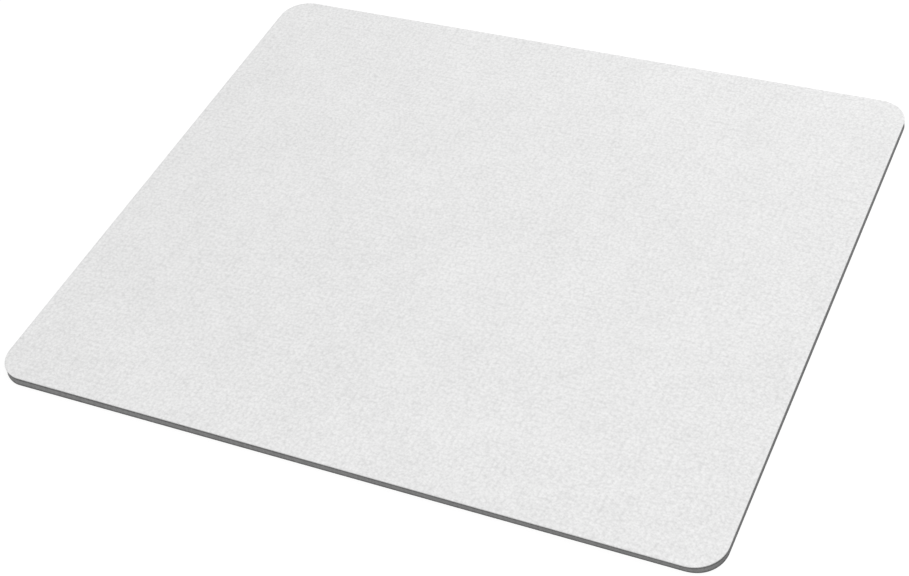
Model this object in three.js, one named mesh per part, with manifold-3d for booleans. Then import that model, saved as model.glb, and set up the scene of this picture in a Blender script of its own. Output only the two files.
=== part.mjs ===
// A cloth mouse pad: a woven face, bonded by a thin film to a foamed rubber base with a zigzag tread.
// Lengths are in millimetres. The origin is the middle of the underside, +X runs along the pad's width,
// +Y along its depth and +Z up through the cloth.

import * as THREE from "three";
import { mergeVertices } from "three/addons/utils/BufferGeometryUtils.js";
import Module from "manifold-3d";

// The outline, which one die cuts through all three layers.
const padWidth = 240;
const padDepth = 205;
const cornerRadius = 10;
const cornerSteps = 8;

// The layers, from the desk up.
const baseThickness = 2.5;
const filmThickness = 0.1;
const clothThickness = 0.4;

// The cloth's upper edge, which the die presses round.
const clothEdgeRound = 0.2;
const clothEdgeSteps = 3;

// The tread in the underside of the base. The plain rim keeps the cut edge whole.
const rimWidth = 4;
const treadPitch = 4;
const grooveDepth = 0.3;
const grooveWidth = 1.6;
const grooveDraft = 0.3;
const zigzagLength = 24;
const zigzagRise = 7;

// How far the tread's cutter reaches out of the underside.
const cutOverrun = 1;

const quarterTurn = Math.PI / 2;
const baseTop = baseThickness;
const filmTop = baseTop + filmThickness;
const clothTop = filmTop + clothThickness;

const wasm = await Module();
wasm.setup();

// The pad's outline, drawn in from the cut edge by an inset.
function padOutline(inset) {
  const radius = Math.max(cornerRadius - inset, 0);
  const centreX = padWidth / 2 - inset - radius;
  const centreY = padDepth / 2 - inset - radius;
  const outline = new THREE.Shape();
  outline.absarc(centreX, -centreY, radius, -quarterTurn, 0);
  outline.absarc(centreX, centreY, radius, 0, quarterTurn);
  outline.absarc(-centreX, centreY, radius, quarterTurn, 2 * quarterTurn);
  outline.absarc(-centreX, -centreY, radius, -2 * quarterTurn, -quarterTurn);
  return outline;
}

// A sheet lofted through the pad's outline, from its lower to its upper edge. Each stage of the edge is an
// inset and a height, and two sheets that share a height meet exactly.
function sheetGeometry(stages) {
  const rings = stages.map((stage) => padOutline(stage.inset).getPoints(cornerSteps));
  const ringSize = rings[0].length;
  const cap = THREE.ShapeUtils.triangulateShape(rings[0], []);
  const topStart = (rings.length - 1) * ringSize;
  const vertices = [];
  rings.forEach((ring, level) => {
    ring.forEach((point) => vertices.push(point.x, point.y, stages[level].height));
  });
  const faces = [];
  for (const [a, b, c] of cap) {
    faces.push(a, c, b);
    faces.push(topStart + a, topStart + b, topStart + c);
  }
  for (let start = 0; start < topStart; start += ringSize) {
    for (let i = 0; i < ringSize; i += 1) {
      const near = start + i;
      const next = start + ((i + 1) % ringSize);
      faces.push(near, next, next + ringSize);
      faces.push(near, next + ringSize, near + ringSize);
    }
  }
  const geometry = new THREE.BufferGeometry();
  geometry.setAttribute("position", new THREE.Float32BufferAttribute(vertices, 3));
  geometry.setIndex(faces);
  return geometry;
}

// A closed geometry as a solid that can be cut.
function toSolid(geometry) {
  const bare = geometry.clone();
  bare.deleteAttribute("normal");
  bare.deleteAttribute("uv");
  const merged = mergeVertices(bare);
  const mesh = new wasm.Mesh({
    numProp: 3,
    vertProperties: merged.getAttribute("position").array,
    triVerts: new Uint32Array(merged.index.array),
  });
  return new wasm.Manifold(mesh);
}

// A cut solid as a geometry again.
function toGeometry(solid) {
  const mesh = solid.getMesh();
  const geometry = new THREE.BufferGeometry();
  geometry.setAttribute("position", new THREE.BufferAttribute(mesh.vertProperties, 3));
  geometry.setIndex(new THREE.BufferAttribute(mesh.triVerts, 1));
  return geometry;
}

// The cloth is square at its glued edge and rounded over at the top.
function clothStages() {
  const round = Math.min(clothEdgeRound, clothThickness);
  const stages = [{ inset: 0, height: filmTop }];
  for (let step = 0; step <= clothEdgeSteps; step += 1) {
    const angle = (step / clothEdgeSteps) * quarterTurn;
    const inset = round * (1 - Math.cos(angle));
    const height = clothTop - round * (1 - Math.sin(angle));
    stages.push({ inset, height });
  }
  return stages;
}

// The floor of one groove: a zigzag band whose middle line passes x = 0 at the row's own y.
function grooveFloor(rowY) {
  const halfZigzag = zigzagLength / 2;
  const turns = Math.ceil(padWidth / zigzagLength);
  const slant = Math.hypot(halfZigzag, zigzagRise) / halfZigzag;
  const halfBand = (grooveWidth / 2 - grooveDraft) * slant;
  const upper = [];
  const lower = [];
  for (let turn = -turns; turn <= turns; turn += 1) {
    const x = turn * halfZigzag;
    const y = rowY + (turn % 2 === 0 ? 0 : zigzagRise);
    upper.push(new THREE.Vector2(x, y + halfBand));
    lower.push(new THREE.Vector2(x, y - halfBand));
  }
  return new THREE.Shape([...lower, ...upper.reverse()]);
}

// A cutter that reaches up into the underside, with walls that draw in towards the groove's floor.
function draftedCutter(floors) {
  const cutter = new THREE.ExtrudeGeometry(floors, {
    depth: cutOverrun,
    bevelThickness: grooveDepth,
    bevelSize: grooveDraft,
    bevelSegments: 1,
    curveSegments: cornerSteps,
  });
  cutter.translate(0, 0, -cutOverrun);
  return toSolid(cutter);
}

// All the tread's grooves, kept inside the plain rim. A land lies at the middle of the pad.
function treadCutter() {
  const reach = padDepth / 2 + zigzagRise;
  const rows = Math.ceil(reach / treadPitch);
  const floors = [];
  for (let row = -rows; row < rows; row += 1) {
    floors.push(grooveFloor((row + 0.5) * treadPitch));
  }
  const field = padOutline(rimWidth + grooveDraft);
  return draftedCutter(floors).intersect(draftedCutter([field]));
}

function rubberBase() {
  const sheet = sheetGeometry([
    { inset: 0, height: 0 },
    { inset: 0, height: baseTop },
  ]);
  return toGeometry(toSolid(sheet).subtract(treadCutter()));
}

function adhesiveFilm() {
  return sheetGeometry([
    { inset: 0, height: baseTop },
    { inset: 0, height: filmTop },
  ]);
}

function clothFace() {
  return sheetGeometry(clothStages());
}

// A named mesh with its own material, shaded flat as its faces are.
function piece(name, geometry, color, roughness) {
  const faceted = geometry.toNonIndexed();
  faceted.computeVertexNormals();
  const material = new THREE.MeshStandardMaterial({ color, roughness, metalness: 0 });
  const mesh = new THREE.Mesh(faceted, material);
  mesh.name = name;
  return mesh;
}

const mousePad = new THREE.Group();
mousePad.name = "mouse_pad";
mousePad.add(piece("rubber_base", rubberBase(), 0x787878, 0.95));
mousePad.add(piece("adhesive_film", adhesiveFilm(), 0xc9c9c6, 0.5));
mousePad.add(piece("cloth_face", clothFace(), 0xe9e9e9, 0.9));

export default mousePad;
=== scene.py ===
import math

import bmesh
import bpy
from mathutils import Matrix, Vector, noise


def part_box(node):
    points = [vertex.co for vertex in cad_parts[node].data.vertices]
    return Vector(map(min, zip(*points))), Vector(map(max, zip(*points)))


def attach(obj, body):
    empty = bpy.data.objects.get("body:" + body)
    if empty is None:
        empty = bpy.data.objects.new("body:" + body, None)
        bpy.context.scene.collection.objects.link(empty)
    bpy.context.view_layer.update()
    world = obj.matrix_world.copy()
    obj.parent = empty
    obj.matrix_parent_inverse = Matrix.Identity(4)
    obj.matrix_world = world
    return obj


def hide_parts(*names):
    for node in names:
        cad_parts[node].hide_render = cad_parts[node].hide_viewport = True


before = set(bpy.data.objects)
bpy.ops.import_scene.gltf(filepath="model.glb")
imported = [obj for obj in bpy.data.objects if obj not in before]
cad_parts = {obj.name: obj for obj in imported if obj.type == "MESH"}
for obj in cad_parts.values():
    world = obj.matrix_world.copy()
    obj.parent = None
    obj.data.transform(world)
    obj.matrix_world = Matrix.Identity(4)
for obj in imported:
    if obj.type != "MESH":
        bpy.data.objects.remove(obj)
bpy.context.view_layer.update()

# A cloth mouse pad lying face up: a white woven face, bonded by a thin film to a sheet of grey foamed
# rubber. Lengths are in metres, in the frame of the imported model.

MM = 0.001

# Sizes of the pad that the frame gives.
BASE_LOW, BASE_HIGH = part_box("rubber_base")
CLOTH_LOW, CLOTH_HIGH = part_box("cloth_face")
PAD_WIDTH = BASE_HIGH.x - BASE_LOW.x
PAD_DEPTH = BASE_HIGH.y - BASE_LOW.y

# The outline's corners, how many flats the cut round each one starts from, and how near two cuts or two
# rim vertices may come before they are joined.
CORNER_RADIUS = 10 * MM
CORNER_CUTS = 16
CUT_TOLERANCE = 0.0001 * MM
SLIVER = 0.003 * MM
RIM_MERGE = 0.04 * MM

# Edges sharper than this stay sharp on a smooth piece.
CREASE = math.radians(40)
# Faces whose normal rises less than this count as a cut wall, on the even cloth and on the uneven foam.
CLOTH_UPRIGHT = 0.2
FOAM_UPRIGHT = 0.45

# The weave: cells across the pad's width and depth, how far the cloth dips between them, and its yarns.
CELLS_ACROSS = 115
CELLS_DEEP = 94
CELL_WIDTH = PAD_WIDTH / CELLS_ACROSS
CELL_DEPTH = PAD_DEPTH / CELLS_DEEP
CELL_DIP = 0.05 * MM
YARNS_PER_CELL = 5
YARN_RELIEF = 0.025 * MM
YARN_END = 0.18 * MM

# The cloth's edge: flat for a little way in, and pressed round by the die.
FLAT_EDGE = 1.2 * MM
CLOTH_ROUND = 0.2 * MM
CLOTH_ROUND_STEPS = 3
CLOTH_RIM_STEP = 0.4 * MM

# How large the uneven places in the cloth's tone are, from single fibres to broad clouds.
FUZZ_SIZE = 0.7 * MM
SLUB_WIDTH = 0.6 * MM
SLUB_DRAW = 0.12
PEBBLE_SIZE = 1.25 * MM
MOTTLE_SIZE = 6 * MM
CLOUD_SIZE = 30 * MM

# The film: its mesh, how far it is squeezed out at the edge, and its grain.
FILM_COLUMNS = 40
FILM_ROWS = 34
FILM_RIM_STEP = 1.5 * MM
FILM_SQUEEZE = 0.01 * MM
FILM_CLOUD = 1.5 * MM
FILM_RELIEF = 0.01 * MM

# The tread in the underside of the base. Its grooves rise and end over the fade, beside the plain rim.
TREAD_RIM = 4 * MM
TREAD_FADE = 0.5 * MM
TREAD_PITCH = 4 * MM
TREAD_DEPTH = 0.3 * MM
GROOVE_WIDTH = 1.6 * MM
GROOVE_DRAFT = 0.3 * MM
GROOVE_EASE = 0.07 * MM
ZIGZAG_LENGTH = 24 * MM
ZIGZAG_RISE = 7 * MM
ZIGZAG_ROUND = 1.6 * MM
TURN_STATIONS = (-1, -0.66, -0.33, 0, 0.33, 0.66, 1)
# How many times wider a slanting groove is along Y than straight across.
SLANT = math.hypot(ZIGZAG_LENGTH / 2, ZIGZAG_RISE) / (ZIGZAG_LENGTH / 2)

# The die-cut wall of the foam: how far it draws in at half height and spreads out towards the desk, how
# rough it is, and its mesh. The sheet was squeezed unevenly under the die, so the near side's foot leans
# out at its left end and in at its right end, and the right side's foot leans in at its near end. The
# higher the fade, the sooner the leans die out round the corners.
WALL_DRAW_IN = 0.06 * MM
WALL_SPREAD = 0.08 * MM
NEAR_LEAN = 0.36 * MM
RIGHT_LEAN = 0.12 * MM
LEAN_FADE = 12
WALL_ROUGHNESS = 0.03 * MM
WALL_GRAIN = 0.9 * MM
WALL_ROWS = 5
WALL_EDGE = 0.08 * MM
FOAM_RIM_STEP = 0.6 * MM

# The grain of the cut foam. Its painted shade, under the cloth along its top and on the floor along its
# foot, begins at the first share of the wall's height from its middle, and is at its darkest from the
# second.
FOAM_CELL = 0.3 * MM
FOAM_RELIEF = 0.05 * MM
DRAG_MARK = 0.8 * MM
DRAG_DRAW = 0.15
EDGE_SHADE_SHARES = (0.15, 0.42)

# The grain of the tread's moulded skin, and the shares of a groove's depth between which it darkens:
# painted shade in the grooves, against lands made paler by wear.
PEEL_SIZE = 0.6 * MM
PEEL_RELIEF = 0.03 * MM
PORE_SIZE = 0.9 * MM
PORE_WALLS = (0.1, 0.28)
BLOOM_SIZE = 22 * MM
GROOVE_SHADE_AND_WEAR_SHARES = (0.1, 0.8)

# The range that a grain hardly leaves.
GRAIN_RANGE = (0.3, 0.7)

# The darkest and the palest grey of each finish, how rough it is from its hollows to its crowns, and how
# much it shines.
# The cloth's darkest grey is partly painted shade in the gaps between its yarns and between its cells.
CLOTH_TONES = (0.69, 0.88)
CLOTH_ROUGHNESS = (0.94, 0.82)
CLOTH_SHINE = 0.25
CLOTH_SHEEN = 0.08
CLOTH_SHEEN_ROUGHNESS = 0.4
# The cut yarn ends' greys: partly glue soaked into them, partly painted shade.
CUT_YARN_GLUE_AND_SHADE_TONES = (0.42, 0.66)
CUT_YARN_ROUGHNESS = (0.98, 0.88)
CUT_YARN_SHINE = 0.2
FILM_TONES = (0.46, 0.58)
FILM_ROUGHNESS = (0.52, 0.38)
CUT_FOAM_TONES = (0.084, 0.245)
CUT_FOAM_ROUGHNESS = (0.98, 0.88)
CUT_FOAM_SHINE = 0.2
SKIN_TONES = (0.14, 0.25)
SKIN_ROUGHNESS = (0.62, 0.8)
SKIN_SHINE = 0.35

# How a piece's sides are laid out on its map: the side that shows at full size, its four walls as strips
# above it, and the side that is bonded small beside them.
MAP_NAME = "OFBake"
MAP_SPAN = 245 * MM
MAP_GAP = 1 * MM
WALL_STRIPS = 4
STRIP_HEIGHT = 3 * MM
BONDED_SHARE = 0.09

# The floor: how far it reaches, how little it lies under the pad, and how pale it is to the lamps' light.
# What is seen of it is a glow with a matt part that takes the pad's shadow, and plain white further out.
FLOOR_REACH = 3
FLOOR_GAP = 0.02 * MM
FLOOR_TONE = 0.62
FLOOR_GLOW = 0.74
SHADOW_TONE = 0.35
SHADOW_REACH = 0.3
WHITE_REACH = 0.6

# How much light the room and the two square lamps give, and where the lamps stand.
ROOM_LIGHT = 0.535
LAMP_WIDTH = 0.5
FRONT_LAMP = 7.9
FRONT_PLACE = Vector((0.28, -1.0, 0.9))
BACK_LAMP = 4.2
BACK_PLACE = Vector((0.25, 0.8, 0.45))

# The camera, at the photograph's viewpoint.
CAMERA_PLACE = Vector((216.34, -368.48, 393.29)) * MM
CAMERA_AIM = Vector((6.76, -24.18, 3.00)) * MM
CAMERA_ROLL = math.radians(-9.901)
CAMERA_LENS = 69.95
CAMERA_SENSOR = 36
CAMERA_CLIP = 0.01


# Outline and mesh helpers. Parts of a mesh are taken in a fixed order, so that each run gives one shape.

def from_corner(point):
    """The nearest point of the frame that joins the corners' centres, and the way out from it."""
    reach_x = PAD_WIDTH / 2 - CORNER_RADIUS
    reach_y = PAD_DEPTH / 2 - CORNER_RADIUS
    centre_x = max(-reach_x, min(reach_x, point.x))
    centre_y = max(-reach_y, min(reach_y, point.y))
    centre = Vector((centre_x, centre_y, 0))
    return centre, Vector((point.x, point.y, 0)) - centre


def edge_distance(point):
    """How far a point on the pad lies in from the cut edge."""
    _, away = from_corner(point)
    if away.length > 0:
        return CORNER_RADIUS - away.length
    return min(PAD_WIDTH / 2 - abs(point.x), PAD_DEPTH / 2 - abs(point.y))


def place_on_outline(vertex, inset, height):
    """Moves a rim vertex straight out or in to the outline drawn in by an inset."""
    centre, away = from_corner(vertex.co)
    vertex.co = centre + away.normalized() * (CORNER_RADIUS - inset)
    vertex.co.z = height


def cut_faces(bm, faces, through, outward, clear):
    """Cuts some of the faces along an upright plane, and gives back what is left of them."""
    edges = dict.fromkeys(edge for face in faces for edge in face.edges)
    vertices = dict.fromkeys(vertex for face in faces for vertex in face.verts)
    cut = bmesh.ops.bisect_plane(
        bm, geom=[*faces, *edges, *vertices], dist=CUT_TOLERANCE,
        plane_co=through, plane_no=outward, clear_outer=clear)
    return [part for part in cut["geom"] if part.is_valid and isinstance(part, bmesh.types.BMFace)]


def cut_to_outline(bm, inset, clear):
    """Cuts a flat mesh along the outline drawn in by an inset, and clears what is outside if asked."""
    half = Vector((PAD_WIDTH / 2 - inset, PAD_DEPTH / 2 - inset, 0))
    for outward in (Vector((1, 0, 0)), Vector((-1, 0, 0)), Vector((0, 1, 0)), Vector((0, -1, 0))):
        cut_faces(bm, bm.faces[:], outward * abs(outward.dot(half)), outward, clear)
    for side_x in (-1, 1):
        for side_y in (-1, 1):
            centre_x = side_x * (PAD_WIDTH / 2 - CORNER_RADIUS)
            centre_y = side_y * (PAD_DEPTH / 2 - CORNER_RADIUS)
            centre = Vector((centre_x, centre_y, 0))
            corner = [face for face in bm.faces
                      if (face.calc_center_median() - centre).length < 2 * CORNER_RADIUS]
            for step in range(1, CORNER_CUTS):
                angle = math.pi / 2 * step / CORNER_CUTS
                outward = Vector((side_x * math.cos(angle), side_y * math.sin(angle), 0))
                through = centre + outward * (CORNER_RADIUS - inset)
                corner = cut_faces(bm, corner, through, outward, clear)


def drop_slivers(bm):
    """Takes out the slivers that crossing cuts leave."""
    bmesh.ops.dissolve_degenerate(bm, edges=bm.edges[:], dist=SLIVER)


def rim_edges(bm):
    """The edges of the open rim."""
    return [edge for edge in bm.edges if edge.is_boundary]


def rim_vertices(bm):
    """The vertices of the open rim, in the order of their places."""
    rim = [vertex for vertex in bm.verts if vertex.is_boundary]
    return sorted(rim, key=lambda vertex: vertex.co[:])


def even_rim(bm, inset, height):
    """Joins rim vertices that the cuts left too close, and sets the rim on the true outline."""
    bmesh.ops.remove_doubles(bm, verts=rim_vertices(bm), dist=RIM_MERGE)
    for vertex in rim_vertices(bm):
        place_on_outline(vertex, inset, height)


def refine_rim(bm, longest):
    """Splits the open rim's long edges, so that its wall can be uneven."""
    by_cuts = {}
    for edge in rim_edges(bm):
        by_cuts.setdefault(math.ceil(edge.calc_length() / longest) - 1, []).append(edge)
    for cuts, edges in by_cuts.items():
        if cuts > 0:
            bmesh.ops.subdivide_edges(bm, edges=edges, cuts=cuts)


def extend_rim(bm, inset, height):
    """Grows one more ring of faces from the open rim, out to an inset and a height."""
    grown = bmesh.ops.extrude_edge_only(bm, edges=rim_edges(bm))["geom"]
    ring = [part for part in grown if isinstance(part, bmesh.types.BMVert)]
    for vertex in ring:
        place_on_outline(vertex, inset, height)
    return ring


def close_piece(bm):
    """Closes the open rim with one flat face, and turns every face outwards."""
    bmesh.ops.holes_fill(bm, edges=rim_edges(bm), sides=0)
    bmesh.ops.recalc_face_normals(bm, faces=bm.faces[:])


def flat_grid(columns, rows):
    """A flat grid whose lines run through the given places along X and Y."""
    bm = bmesh.new()
    bmesh.ops.create_grid(bm, x_segments=len(columns) - 1, y_segments=len(rows) - 1, size=0.5)
    for vertex in bm.verts:
        column = round((vertex.co.x + 0.5) * (len(columns) - 1))
        row = round((vertex.co.y + 0.5) * (len(rows) - 1))
        vertex.co = Vector((columns[column], rows[row], 0))
    return bm


def even_places(length, count):
    """Places that divide a length about zero into a count of even steps."""
    return [length * (step / count - 0.5) for step in range(count + 1)]


def strip_start(strip):
    """How far up the map a wall's strip starts."""
    return PAD_DEPTH + 2 * MAP_GAP + strip * (STRIP_HEIGHT + MAP_GAP)


def map_place(point, normal, low, high, upright, shown_up):
    """Where a point of a piece goes on its map, by the way its face looks. Nothing is mirrored."""
    if abs(normal.z) > upright:
        along = point.x if normal.z > 0 else -point.x
        flat = Vector((along + PAD_WIDTH / 2, point.y + PAD_DEPTH / 2))
        if (normal.z > 0) == shown_up:
            return flat + Vector((MAP_GAP, MAP_GAP))
        return flat * BONDED_SHARE + Vector((MAP_GAP, strip_start(WALL_STRIPS)))
    looks = (normal.x, normal.y, -normal.x, -normal.y)
    wall = looks.index(max(looks))
    along = (point.y, -point.x, -point.y, point.x)[wall]
    up = (point.z - low.z) / (high.z - low.z) * STRIP_HEIGHT
    return Vector((along + PAD_WIDTH / 2 + MAP_GAP, strip_start(wall) + up))


def lay_out_map(bm, low, high, upright, shown_up):
    """Gives a piece its own map, on which the side that shows keeps its fine grain."""
    layer = bm.loops.layers.uv.new(MAP_NAME)
    for face in bm.faces:
        for loop in face.loops:
            place = map_place(loop.vert.co, face.normal, low, high, upright, shown_up)
            loop[layer].uv = place / MAP_SPAN


def finished_piece(bm, name, materials):
    """A piece of the pad from a mesh, smooth but for its creases."""
    mesh = bpy.data.meshes.new(name)
    bm.to_mesh(mesh)
    bm.free()
    mesh.shade_smooth()
    mesh.set_sharp_from_angle(angle=CREASE)
    piece = bpy.data.objects.new(name, mesh)
    bpy.context.scene.collection.objects.link(piece)
    for material in materials:
        mesh.materials.append(material)
    return piece


# Material helpers

def grey(level):
    """A neutral colour, opaque."""
    return (level, level, level, 1)


class Finish:
    """A material under construction: its shader, and short ways to add the nodes that feed it."""

    def __init__(self, name):
        self.material = bpy.data.materials.new(name)
        self.material.use_nodes = True
        self.tree = self.material.node_tree
        self.shader = self.tree.nodes["Principled BSDF"]
        self.place = self.node("ShaderNodeTexCoord").outputs["Object"]

    def node(self, kind, **settings):
        """A new node with its settings."""
        made = self.tree.nodes.new(kind)
        for name, value in settings.items():
            setattr(made, name, value)
        return made

    def feed(self, socket, value):
        """Links a socket to another node's, or sets it to a plain value."""
        if isinstance(value, bpy.types.NodeSocket):
            self.tree.links.new(value, socket)
        else:
            socket.default_value = value

    def math(self, operation, first, second=0.0, third=0.0):
        """One operation on up to three values."""
        made = self.node("ShaderNodeMath", operation=operation)
        for socket, value in zip(made.inputs, (first, second, third)):
            self.feed(socket, value)
        return made.outputs[0]

    def axes(self):
        """The place on the piece along X, Y and Z."""
        split = self.node("ShaderNodeSeparateXYZ")
        self.feed(split.inputs[0], self.place)
        return split.outputs

    def grain(self, size, detail=2.0, stretch=(1, 1, 1)):
        """Noise whose lumps are about this size, from 0 to 1."""
        mapping = self.node("ShaderNodeMapping")
        self.feed(mapping.inputs["Vector"], self.place)
        mapping.inputs["Scale"].default_value = stretch
        made = self.node("ShaderNodeTexNoise")
        self.feed(made.inputs["Vector"], mapping.outputs[0])
        made.inputs["Scale"].default_value = 1 / size
        made.inputs["Detail"].default_value = detail
        return made.outputs["Fac"]

    def pits(self, size, flat=False):
        """Cells about this size, from 0 in the middle up to their walls. Flat ones lie along X and Y."""
        dimensions = "2D" if flat else "3D"
        made = self.node("ShaderNodeTexVoronoi", feature="F1", voronoi_dimensions=dimensions)
        self.feed(made.inputs["Vector"], self.place)
        made.inputs["Scale"].default_value = 1 / size
        return made.outputs["Distance"]

    def span(self, value, low, high, to_low=0.0, to_high=1.0):
        """A value carried from one range to another, and held within it."""
        made = self.node("ShaderNodeMapRange", clamp=True)
        for name, given in (("Value", value), ("From Min", low), ("From Max", high),
                            ("To Min", to_low), ("To Max", to_high)):
            self.feed(made.inputs[name], given)
        return made.outputs[0]

    def tone(self, parts):
        """A tone about one half, moved by each part's own swing about one half times its weight."""
        total = 0.5
        for part, weight in parts:
            swing = self.math("SUBTRACT", part, 0.5)
            total = self.math("MULTIPLY_ADD", swing, weight, total)
        return total

    def colour(self, tone, tones):
        """Colours the shader from the darkest to the palest of two greys as the tone goes from 0 to 1."""
        mix = self.node("ShaderNodeMix", data_type="RGBA")
        factor = [socket for socket in mix.inputs if socket.name == "Factor" and socket.type == "VALUE"][0]
        low, high = [socket for socket in mix.inputs if socket.type == "RGBA"]
        result = [socket for socket in mix.outputs if socket.type == "RGBA"][0]
        self.feed(factor, tone)
        self.feed(low, grey(tones[0]))
        self.feed(high, grey(tones[1]))
        self.feed(self.shader.inputs["Base Color"], result)

    def roughness(self, grain, pair):
        """Takes the shader's roughness from the first to the second of a pair as a grain rises."""
        self.feed(self.shader.inputs["Roughness"], self.span(grain, *GRAIN_RANGE, *pair))

    def shine(self, level):
        """Sets how much the shader shines."""
        self.shader.inputs["Specular IOR Level"].default_value = level

    def bump(self, height, depth):
        """Raises and lowers the surface finely, by up to a depth."""
        made = self.node("ShaderNodeBump")
        made.inputs["Strength"].default_value = 1
        made.inputs["Distance"].default_value = depth
        self.feed(made.inputs["Height"], height)
        self.feed(self.shader.inputs["Normal"], made.outputs[0])


# Finishes

def cell_wave(finish, along, pitch, count):
    """1 at the middle of each weave cell and -1 at the gaps between cells."""
    turns = finish.math("MULTIPLY", along, 2 * math.pi / pitch)
    shift = math.pi if count % 2 == 0 else 0.0
    return finish.math("COSINE", finish.math("ADD", turns, shift))


def plain_weave(finish, x, y):
    """Yarns that pass over and under each other: 1 on a yarn's crown and 0 in the gaps between yarns."""
    warp_wave = finish.math("SINE", finish.math("MULTIPLY", x, math.pi * YARNS_PER_CELL / CELL_WIDTH))
    weft_wave = finish.math("SINE", finish.math("MULTIPLY", y, math.pi * YARNS_PER_CELL / CELL_DEPTH))
    crossing = finish.math("MULTIPLY", warp_wave, weft_wave)
    warp_up = finish.math("MULTIPLY_ADD", crossing, 0.5, 0.5)
    weft_up = finish.math("MULTIPLY_ADD", crossing, -0.5, 0.5)
    warp = finish.math("MULTIPLY", finish.math("ABSOLUTE", warp_wave), warp_up)
    weft = finish.math("MULTIPLY", finish.math("ABSOLUTE", weft_wave), weft_up)
    return finish.math("MAXIMUM", warp, weft)


def cloth_finish():
    """White woven polyester: shallow cells, uneven yarns both ways, and a fuzz of fine fibres, with
    painted shade in the gaps between its yarns and between its cells.
    """
    finish = Finish("woven_polyester")
    x, y, _ = finish.axes()
    across = cell_wave(finish, x, CELL_WIDTH, CELLS_ACROSS)
    deep = cell_wave(finish, y, CELL_DEPTH, CELLS_DEEP)
    cells = finish.span(finish.math("ADD", across, deep), -2.0, 2.0)
    weave = plain_weave(finish, x, y)
    pebbles = finish.pits(PEBBLE_SIZE, flat=True)
    fuzz = finish.grain(FUZZ_SIZE)
    warp_slubs = finish.grain(SLUB_WIDTH, detail=1.0, stretch=(1, SLUB_DRAW, 1))
    weft_slubs = finish.grain(SLUB_WIDTH, detail=1.0, stretch=(SLUB_DRAW, 1, 1))
    mottle = finish.grain(MOTTLE_SIZE)
    cloud = finish.grain(CLOUD_SIZE, detail=1.0)
    # The weave and the cells darken the gaps between yarns and between cells: painted shade in the cloth's
    # hollows.
    tone = finish.tone((
        (weave, 0.4),
        (cells, 0.18),
        (pebbles, -0.56),
        (fuzz, 1.45),
        (warp_slubs, 0.2),
        (weft_slubs, 0.2),
        (mottle, 0.34),
        (cloud, 0.22),
    ))
    finish.colour(tone, CLOTH_TONES)
    finish.roughness(fuzz, CLOTH_ROUGHNESS)
    finish.shine(CLOTH_SHINE)
    finish.shader.inputs["Sheen Weight"].default_value = CLOTH_SHEEN
    finish.shader.inputs["Sheen Roughness"].default_value = CLOTH_SHEEN_ROUGHNESS
    lumps = finish.math("SUBTRACT", fuzz, pebbles)
    finish.bump(finish.math("ADD", weave, lumps), YARN_RELIEF)
    return finish.material


def cut_cloth_finish():
    """The cloth's cut edge: the ends of its yarns, grey partly from glue soaked into them and partly from
    painted shade.
    """
    finish = Finish("cut_yarn_ends_glue_and_shade")
    ends = finish.pits(YARN_END)
    fuzz = finish.grain(YARN_END, detail=3.0)
    tone = finish.tone((
        (ends, -0.9),
        (fuzz, 1.2),
    ))
    finish.colour(tone, CUT_YARN_GLUE_AND_SHADE_TONES)
    finish.roughness(fuzz, CUT_YARN_ROUGHNESS)
    finish.shine(CUT_YARN_SHINE)
    finish.bump(finish.math("ADD", ends, fuzz), YARN_RELIEF)
    return finish.material


def film_finish():
    """The hot-melt film: milky and a little uneven."""
    finish = Finish("milky_film")
    cloudy = finish.grain(FILM_CLOUD)
    finish.colour(cloudy, FILM_TONES)
    finish.roughness(cloudy, FILM_ROUGHNESS)
    finish.bump(cloudy, FILM_RELIEF)
    return finish.material


def cut_foam_finish():
    """The foam's cut wall: opened cells, fine drag marks of the die, and painted shade along its top and
    its foot.
    """
    finish = Finish("cut_foam")
    _, _, z = finish.axes()
    from_middle = finish.math("ABSOLUTE", finish.math("SUBTRACT", z, BASE_HIGH.z / 2))
    painted_edge_shade = finish.span(from_middle, *(share * BASE_HIGH.z for share in EDGE_SHADE_SHARES))
    cells = finish.pits(FOAM_CELL)
    fine = finish.grain(FOAM_CELL, detail=3.0)
    drag = finish.grain(DRAG_MARK, detail=1.0, stretch=(1, 1, DRAG_DRAW))
    # The wall darkens towards its top and its foot: painted shade under the cloth's edge and where it
    # meets the floor.
    tone = finish.tone((
        (cells, 0.5),
        (fine, 0.5),
        (drag, 0.5),
        (painted_edge_shade, -0.75),
    ))
    finish.colour(tone, CUT_FOAM_TONES)
    finish.roughness(fine, CUT_FOAM_ROUGHNESS)
    finish.shine(CUT_FOAM_SHINE)
    finish.bump(finish.math("ADD", cells, fine), FOAM_RELIEF)
    return finish.material


def moulded_rubber_finish():
    """The skin that the mould leaves on the tread: a fine peel, small pores, a dull bloom, lands paler
    with wear, and painted shade in the grooves.
    """
    finish = Finish("moulded_rubber_skin")
    _, _, z = finish.axes()
    # Deeper in a groove the skin darkens: painted shade there, with the worn lands left paler.
    deep = finish.span(z, *(share * TREAD_DEPTH for share in GROOVE_SHADE_AND_WEAR_SHARES))
    peel = finish.grain(PEEL_SIZE, detail=3.0)
    pores = finish.span(finish.pits(PORE_SIZE), *PORE_WALLS)
    bloom = finish.grain(BLOOM_SIZE, detail=3.0)
    tone = finish.tone((
        (deep, -0.45),
        (pores, 0.4),
        (peel, 0.9),
        (bloom, 0.8),
    ))
    finish.colour(tone, SKIN_TONES)
    finish.roughness(peel, SKIN_ROUGHNESS)
    finish.shine(SKIN_SHINE)
    finish.bump(finish.math("ADD", peel, pores), PEEL_RELIEF)
    return finish.material


# The cloth

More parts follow.
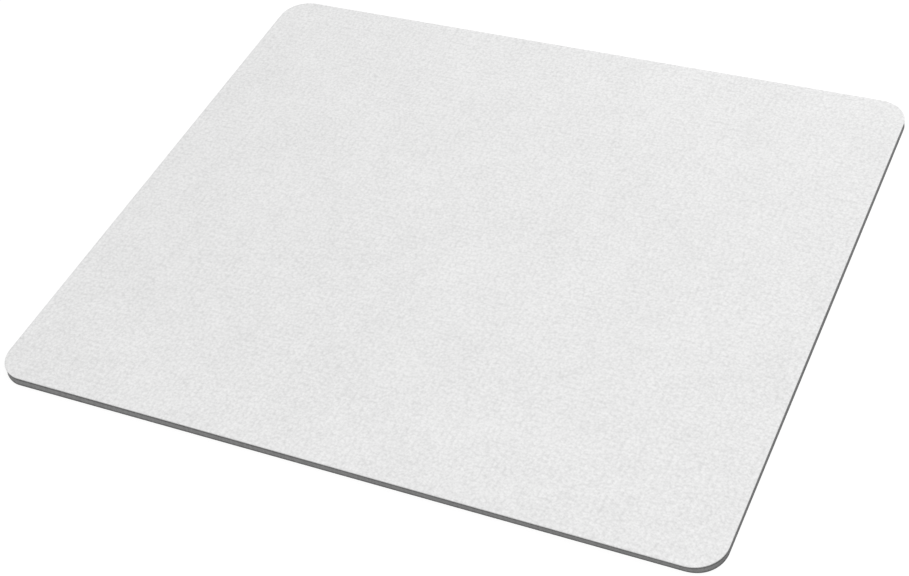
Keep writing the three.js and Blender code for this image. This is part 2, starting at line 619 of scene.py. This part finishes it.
def cloth_height(point):
    """The weave's own relief: level with the top on each cell, and dipping between cells."""
    across = math.cos(2 * math.pi * point.x / CELL_WIDTH) * (1 if CELLS_ACROSS % 2 else -1)
    deep = math.cos(2 * math.pi * point.y / CELL_DEPTH) * (1 if CELLS_DEEP % 2 else -1)
    fade = max(0.0, min(1.0, (edge_distance(point) - CLOTH_ROUND) / FLAT_EDGE))
    return CLOTH_HIGH.z - CELL_DIP * fade * (2 - across - deep) / 4


def woven_cloth():
    """The cloth face: two grid lines to a weave cell, a pressed edge, and a straight cut to the film."""
    bm = flat_grid(even_places(PAD_WIDTH, 2 * CELLS_ACROSS), even_places(PAD_DEPTH, 2 * CELLS_DEEP))
    cut_to_outline(bm, CLOTH_ROUND, clear=True)
    even_rim(bm, CLOTH_ROUND, 0)
    refine_rim(bm, CLOTH_RIM_STEP)
    for vertex in bm.verts:
        vertex.co.z = cloth_height(vertex.co)
    for step in range(1, CLOTH_ROUND_STEPS + 1):
        angle = math.pi / 2 * step / CLOTH_ROUND_STEPS
        inset = CLOTH_ROUND * (1 - math.sin(angle))
        extend_rim(bm, inset, CLOTH_HIGH.z - CLOTH_ROUND * (1 - math.cos(angle)))
    extend_rim(bm, 0, (CLOTH_LOW.z + CLOTH_HIGH.z - CLOTH_ROUND) / 2)
    extend_rim(bm, 0, CLOTH_LOW.z)
    close_piece(bm)
    for face in bm.faces:
        face.material_index = 1 if abs(face.normal.z) < CLOTH_UPRIGHT else 0
    lay_out_map(bm, CLOTH_LOW, CLOTH_HIGH, CLOTH_UPRIGHT, shown_up=True)
    return finished_piece(bm, "woven_cloth", [cloth_finish(), cut_cloth_finish()])


# The bonding film

def bonding_film():
    """The film, which is squeezed out a hair at the middle of its edge."""
    bm = flat_grid(even_places(PAD_WIDTH, FILM_COLUMNS), even_places(PAD_DEPTH, FILM_ROWS))
    cut_to_outline(bm, 0, clear=True)
    for vertex in bm.verts:
        vertex.co.z = BASE_HIGH.z
    even_rim(bm, 0, BASE_HIGH.z)
    refine_rim(bm, FILM_RIM_STEP)
    extend_rim(bm, -FILM_SQUEEZE, (BASE_HIGH.z + CLOTH_LOW.z) / 2)
    extend_rim(bm, 0, CLOTH_LOW.z)
    close_piece(bm)
    return finished_piece(bm, "bonding_film", [film_finish()])


# The foamed rubber base and its tread

def smooth_step(share):
    """0 up to 0 and 1 from 1, with a smooth rise between."""
    held = max(0.0, min(1.0, share))
    return held * held * (3 - 2 * held)


def rounded_turn(distance):
    """A distance from a zigzag's turn, eased close to the turn so that the groove runs round it."""
    if distance >= ZIGZAG_ROUND:
        return distance
    return (distance * distance + ZIGZAG_ROUND * ZIGZAG_ROUND) / (2 * ZIGZAG_ROUND)


def zigzag(x):
    """How far a groove's middle line stands off its row, with its turns rounded."""
    half = ZIGZAG_LENGTH / 2
    along = abs(x) % ZIGZAG_LENGTH
    from_turn = min(along, ZIGZAG_LENGTH - along)
    if from_turn <= half / 2:
        return rounded_turn(from_turn) * ZIGZAG_RISE / half
    return ZIGZAG_RISE - rounded_turn(half - from_turn) * ZIGZAG_RISE / half


def tread_height(point):
    """Height of the underside: grooves with eased edges, dying out at the plain rim."""
    off_row = (point.y - zigzag(point.x)) / TREAD_PITCH
    from_middle = abs(off_row - math.floor(off_row) - 0.5) * TREAD_PITCH / SLANT
    mouth = GROOVE_WIDTH / 2 + GROOVE_EASE
    floor = GROOVE_WIDTH / 2 - GROOVE_DRAFT - GROOVE_EASE
    depth = smooth_step((mouth - from_middle) / (mouth - floor))
    into_field = smooth_step((edge_distance(point) - TREAD_RIM) / TREAD_FADE)
    return TREAD_DEPTH * depth * into_field


def tread_columns():
    """Where the tread's grid runs along X: close together round each turn of the zigzag."""
    half = ZIGZAG_LENGTH / 2
    turns = math.ceil(PAD_WIDTH / ZIGZAG_LENGTH)
    return [turn * half + station * ZIGZAG_ROUND
            for turn in range(-turns, turns + 1) for station in TURN_STATIONS]


def tread_rows():
    """Where it runs along Y: the eased mouth and the eased floor of every groove, on both sides."""
    reach = PAD_DEPTH / 2 + ZIGZAG_RISE
    count = math.ceil(reach / TREAD_PITCH)
    mouth = GROOVE_WIDTH / 2
    floor = mouth - GROOVE_DRAFT
    from_middle = (mouth + GROOVE_EASE, mouth - GROOVE_EASE, floor + GROOVE_EASE, floor - GROOVE_EASE)
    offsets = [distance * SLANT for distance in from_middle]
    places = []
    for row in range(-count, count):
        middle = (row + 0.5) * TREAD_PITCH
        places += [middle - offset for offset in offsets]
        places += [middle + offset for offset in reversed(offsets)]
    return places


def foot_spread(point):
    """How far the cut wall's foot stands out beside a point of the rim: its spread, less what leans in."""
    _, away = from_corner(point)
    outward = away.normalized()
    near = max(0, -outward.y) ** LEAN_FADE * NEAR_LEAN * point.x / (PAD_WIDTH / 2)
    right = max(0, outward.x) ** LEAN_FADE * RIGHT_LEAN * max(0, -point.y) / (PAD_DEPTH / 2)
    return WALL_SPREAD - near - right


def wall_inset(point, share):
    """How far the cut wall stands in, beside a point of the rim, at a share of its height."""
    hollow = WALL_DRAW_IN * 4 * share * (1 - share)
    return hollow - foot_spread(point) * (1 - share)


def foam_base():
    """The foamed rubber: the tread first, then its plain rim, the wall, and the bonded top."""
    bm = flat_grid(tread_columns(), tread_rows())
    for vertex in bm.verts:
        vertex.co.y += zigzag(vertex.co.x)
    cut_to_outline(bm, TREAD_RIM, clear=True)
    cut_to_outline(bm, TREAD_RIM + TREAD_FADE / 2, clear=False)
    cut_to_outline(bm, TREAD_RIM + TREAD_FADE, clear=False)
    drop_slivers(bm)
    even_rim(bm, TREAD_RIM, 0)
    for vertex in bm.verts:
        vertex.co.z = tread_height(vertex.co)
    extend_rim(bm, WALL_EDGE - WALL_SPREAD, 0)
    even_rim(bm, WALL_EDGE - WALL_SPREAD, 0)
    refine_rim(bm, FOAM_RIM_STEP)
    for vertex in rim_vertices(bm):
        place_on_outline(vertex, WALL_EDGE - foot_spread(vertex.co), 0)
    for row in range(WALL_ROWS + 1):
        share = row / WALL_ROWS
        height = WALL_EDGE + (BASE_HIGH.z - WALL_EDGE) * share
        for vertex in extend_rim(bm, 0, height):
            inset = wall_inset(vertex.co, share)
            if 0 < share < 1:
                rough = noise.noise(vertex.co / WALL_GRAIN) * WALL_ROUGHNESS
                inset += rough + WALL_ROUGHNESS / 2
            place_on_outline(vertex, inset, height)
    close_piece(bm)
    for face in bm.faces:
        face.material_index = 1 if face.normal.z < -FOAM_UPRIGHT else 0
    lay_out_map(bm, BASE_LOW, BASE_HIGH, FOAM_UPRIGHT, shown_up=False)
    return finished_piece(bm, "foam_base", [cut_foam_finish(), moulded_rubber_finish()])


# Studio

def seen_ray(tree):
    """1 for a ray that sees a surface, straight or in a gloss, and 0 for one that gathers light."""
    path = tree.nodes.new("ShaderNodeLightPath")
    seen = path.outputs["Is Camera Ray"]
    for also in ("Is Glossy Ray", "Is Transmission Ray"):
        either = tree.nodes.new("ShaderNodeMath")
        either.operation = "MAXIMUM"
        tree.links.new(seen, either.inputs[0])
        tree.links.new(path.outputs[also], either.inputs[1])
        seen = either.outputs[0]
    return seen


def mixed(tree, share, first, second):
    """The first shader, giving way to the second as a share goes from 0 to 1."""
    mix = tree.nodes.new("ShaderNodeMixShader")
    tree.links.new(share, mix.inputs["Fac"])
    tree.links.new(first, mix.inputs[1])
    tree.links.new(second, mix.inputs[2])
    return mix.outputs[0]


def matt(tree, level):
    """A matt grey shader."""
    shader = tree.nodes.new("ShaderNodeBsdfDiffuse")
    shader.inputs["Color"].default_value = grey(level)
    return shader.outputs[0]


def glow(tree, strength):
    """A white shader that shines by itself."""
    shader = tree.nodes.new("ShaderNodeEmission")
    shader.inputs["Strength"].default_value = strength
    return shader.outputs[0]


def far_from_pad(tree):
    """0 where the pad's shadow can fall, rising to 1 further out on the floor."""
    place = tree.nodes.new("ShaderNodeTexCoord")
    distance = tree.nodes.new("ShaderNodeVectorMath")
    distance.operation = "LENGTH"
    far = tree.nodes.new("ShaderNodeMapRange")
    far.inputs["From Min"].default_value = SHADOW_REACH
    far.inputs["From Max"].default_value = WHITE_REACH
    tree.links.new(place.outputs["Object"], distance.inputs[0])
    tree.links.new(distance.outputs["Value"], far.inputs["Value"])
    return far.outputs[0]


def pale_floor_material():
    """A pale floor that looks white but for the pad's shadow, and from below lets the pad be seen."""
    material = bpy.data.materials.new("pale_floor")
    material.use_nodes = True
    tree = material.node_tree
    tree.nodes.clear()
    shaded = tree.nodes.new("ShaderNodeAddShader")
    tree.links.new(matt(tree, SHADOW_TONE), shaded.inputs[0])
    tree.links.new(glow(tree, FLOOR_GLOW), shaded.inputs[1])
    seen_floor = mixed(tree, far_from_pad(tree), shaded.outputs[0], glow(tree, 1))
    above = mixed(tree, seen_ray(tree), matt(tree, FLOOR_TONE), seen_floor)
    clear = tree.nodes.new("ShaderNodeBsdfTransparent")
    side = tree.nodes.new("ShaderNodeNewGeometry")
    both = mixed(tree, side.outputs["Backfacing"], above, clear.outputs[0])
    output = tree.nodes.new("ShaderNodeOutputMaterial")
    tree.links.new(both, output.inputs["Surface"])
    return material


def floor_places(length):
    """Where the floor's lines run: along the pad's edge, and through the centres of its corners."""
    edge = length / 2
    centre = edge - CORNER_RADIUS
    return (-FLOOR_REACH, -edge, -centre, centre, edge, FLOOR_REACH)


def studio_floor():
    """A wide floor, left open under the pad so that its underside can be lit and seen from below."""
    bm = flat_grid(floor_places(PAD_WIDTH), floor_places(PAD_DEPTH))
    cut_to_outline(bm, 0, clear=False)
    covered = [face for face in bm.faces if edge_distance(face.calc_center_median()) > 0]
    bmesh.ops.delete(bm, geom=covered, context="FACES")
    bmesh.ops.translate(bm, verts=bm.verts[:], vec=(0, 0, -FLOOR_GAP))
    mesh = bpy.data.meshes.new("studio_floor")
    bm.to_mesh(mesh)
    bm.free()
    mesh.materials.append(pale_floor_material())
    floor = bpy.data.objects.new("studio_floor", mesh)
    bpy.context.scene.collection.objects.link(floor)


def studio_world():
    """A plain white room, which lights the pad less than it is seen."""
    world = bpy.data.worlds.new("studio_world")
    world.use_nodes = True
    bpy.context.scene.world = world
    tree = world.node_tree
    back = tree.nodes["Background"]
    back.inputs["Color"].default_value = grey(1)
    strength = tree.nodes.new("ShaderNodeMapRange")
    strength.inputs["To Min"].default_value = ROOM_LIGHT
    strength.inputs["To Max"].default_value = 1
    tree.links.new(seen_ray(tree), strength.inputs["Value"])
    tree.links.new(strength.outputs[0], back.inputs["Strength"])


def soft_lamp(name, place, watts):
    """A square softbox that faces the middle of the pad."""
    data = bpy.data.lights.new(name, "AREA")
    data.shape = "SQUARE"
    data.size = LAMP_WIDTH
    data.energy = watts
    lamp = bpy.data.objects.new(name, data)
    lamp.location = place
    lamp.rotation_euler = (-place).to_track_quat("-Z", "Y").to_euler()
    lamp.visible_camera = False
    bpy.context.scene.collection.objects.link(lamp)


def portrait_camera():
    """The camera, aimed at the pad and rolled as the photograph is."""
    data = bpy.data.cameras.new("portrait_camera")
    data.sensor_width = CAMERA_SENSOR
    data.lens = CAMERA_LENS
    data.clip_start = CAMERA_CLIP
    camera = bpy.data.objects.new("portrait_camera", data)
    camera.location = CAMERA_PLACE
    look = (CAMERA_AIM - CAMERA_PLACE).to_track_quat("-Z", "Y").to_matrix()
    roll = Matrix.Rotation(CAMERA_ROLL, 3, "Z")
    camera.rotation_euler = (look @ roll).to_euler()
    bpy.context.scene.collection.objects.link(camera)
    bpy.context.scene.camera = camera


# The pad on its floor

cloth = woven_cloth()
film = bonding_film()
base = foam_base()
for piece, node, slot in ((cloth, "cloth_face", "woven_polyester"),
                          (film, "adhesive_film", "hot_melt_film"),
                          (base, "rubber_base", "foamed_rubber")):
    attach(piece, "root")
    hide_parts(node)

studio_floor()
studio_world()
soft_lamp("front_softbox", FRONT_PLACE, FRONT_LAMP)
soft_lamp("back_softbox", BACK_PLACE, BACK_LAMP)
portrait_camera()
bpy.context.scene.view_settings.view_transform = "Standard"
